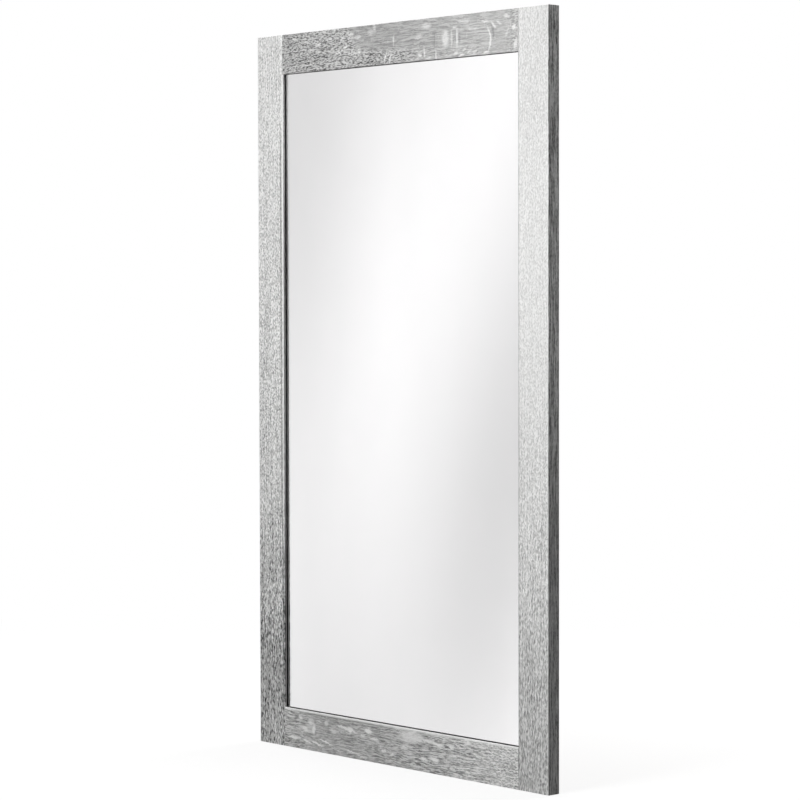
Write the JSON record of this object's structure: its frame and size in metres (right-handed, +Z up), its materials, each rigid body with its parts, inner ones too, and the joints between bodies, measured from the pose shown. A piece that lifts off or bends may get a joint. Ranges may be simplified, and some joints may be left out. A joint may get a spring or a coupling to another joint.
{
  "type": "rectangular wall mirror",
  "caption": "Upright rectangular wall mirror in a flat silvered oak frame, with butted rails and full height stiles, turn buttons behind and wire rings to hang it by.",
  "frame": {"origin": "middle of the lower edge, half way between the frame's face and the wall plane of the bumpers", "axes": "+X across, to the right as the viewer faces the mirror, +Y from the mirror's face towards the wall, +Z up"},
  "size_m": [0.7, 0.033, 1.2],
  "materials": {
    "oak": "silvered oak, brushed open grain under a thin matt grey oil",
    "beech": "plain fluted peg stock, glued in",
    "glazing_tape": "black closed cell foam",
    "float_glass": "clear polished float glass, ground arrises",
    "silver": "silvering under grey paint and safety film",
    "black_rubber": "moulded matt rubber",
    "corrugated_card": "double wall corrugated board",
    "hardboard": "standard hardboard, smooth face outwards",
    "zinc_steel": "bright zinc plate",
    "nickel_wire": "nickel plated wire",
    "stamped_steel": "stamped spring steel, zinc plated"
  },
  "bodies": {
    "mirror": {"left_stile": "oak", "right_stile": "oak", "top_rail": "oak", "bottom_rail": "oak", "foot_left_dowels": "beech", "foot_right_dowels": "beech", "head_left_dowels": "beech", "head_right_dowels": "beech", "bottom_glazing_tape": "glazing_tape", "right_glazing_tape": "glazing_tape", "top_glazing_tape": "glazing_tape", "left_glazing_tape": "glazing_tape", "mirror_glass": "float_glass", "silver_film": "silver", "setting_blocks": "black_rubber", "foot_left_bumper": "black_rubber", "foot_right_bumper": "black_rubber", "head_left_bumper": "black_rubber", "head_right_bumper": "black_rubber", "filler_card": "corrugated_card", "back_board": "hardboard", "bumper_screws": "zinc_steel", "turn_button_screws": "zinc_steel", "hanger_screws": "zinc_steel", "left_hanger_strap": "zinc_steel", "right_hanger_strap": "zinc_steel"},
    "lower_left_turn_button": {"lower_left_turn_button": "stamped_steel"},
    "lower_right_turn_button": {"lower_right_turn_button": "stamped_steel"},
    "middle_left_turn_button": {"middle_left_turn_button": "stamped_steel"},
    "middle_right_turn_button": {"middle_right_turn_button": "stamped_steel"},
    "upper_left_turn_button": {"upper_left_turn_button": "stamped_steel"},
    "upper_right_turn_button": {"upper_right_turn_button": "stamped_steel"},
    "foot_left_turn_button": {"foot_left_turn_button": "stamped_steel"},
    "head_left_turn_button": {"head_left_turn_button": "stamped_steel"},
    "foot_right_turn_button": {"foot_right_turn_button": "stamped_steel"},
    "head_right_turn_button": {"head_right_turn_button": "stamped_steel"},
    "left_hanger_ring": {"left_hanger_ring": "nickel_wire"},
    "right_hanger_ring": {"right_hanger_ring": "nickel_wire"}
  },
  "joints": [
    {"name": "lower_left_turn_button_turn", "type": "hinge", "parent": "mirror", "child": "lower_left_turn_button", "pos_m": [-0.302, 0.0085, 0.2], "axis": [0, 1, 0], "continuous": true},
    {"name": "lower_right_turn_button_turn", "type": "hinge", "parent": "mirror", "child": "lower_right_turn_button", "pos_m": [0.302, 0.0085, 0.2], "axis": [0, 1, 0], "continuous": true},
    {"name": "middle_left_turn_button_turn", "type": "hinge", "parent": "mirror", "child": "middle_left_turn_button", "pos_m": [-0.302, 0.0085, 0.6], "axis": [0, 1, 0], "continuous": true},
    {"name": "middle_right_turn_button_turn", "type": "hinge", "parent": "mirror", "child": "middle_right_turn_button", "pos_m": [0.302, 0.0085, 0.6], "axis": [0, 1, 0], "continuous": true},
    {"name": "upper_left_turn_button_turn", "type": "hinge", "parent": "mirror", "child": "upper_left_turn_button", "pos_m": [-0.302, 0.0085, 1], "axis": [0, 1, 0], "continuous": true},
    {"name": "upper_right_turn_button_turn", "type": "hinge", "parent": "mirror", "child": "upper_right_turn_button", "pos_m": [0.302, 0.0085, 1], "axis": [0, 1, 0], "continuous": true},
    {"name": "foot_left_turn_button_turn", "type": "hinge", "parent": "mirror", "child": "foot_left_turn_button", "pos_m": [-0.175, 0.0085, 0.048], "axis": [0, 1, 0], "continuous": true},
    {"name": "head_left_turn_button_turn", "type": "hinge", "parent": "mirror", "child": "head_left_turn_button", "pos_m": [-0.175, 0.0085, 1.152], "axis": [0, 1, 0], "continuous": true},
    {"name": "foot_right_turn_button_turn", "type": "hinge", "parent": "mirror", "child": "foot_right_turn_button", "pos_m": [0.175, 0.0085, 0.048], "axis": [0, 1, 0], "continuous": true},
    {"name": "head_right_turn_button_turn", "type": "hinge", "parent": "mirror", "child": "head_right_turn_button", "pos_m": [0.175, 0.0085, 1.152], "axis": [0, 1, 0], "continuous": true},
    {"name": "left_ring_swing", "type": "hinge", "parent": "mirror", "child": "left_hanger_ring", "pos_m": [-0.317, 0.0121, 0.9], "axis": [1, 0, 0], "range_deg": [0, 180]},
    {"name": "right_ring_swing", "type": "hinge", "parent": "mirror", "child": "right_hanger_ring", "pos_m": [0.317, 0.0121, 0.9], "axis": [1, 0, 0], "range_deg": [0, 180]}
  ]
}
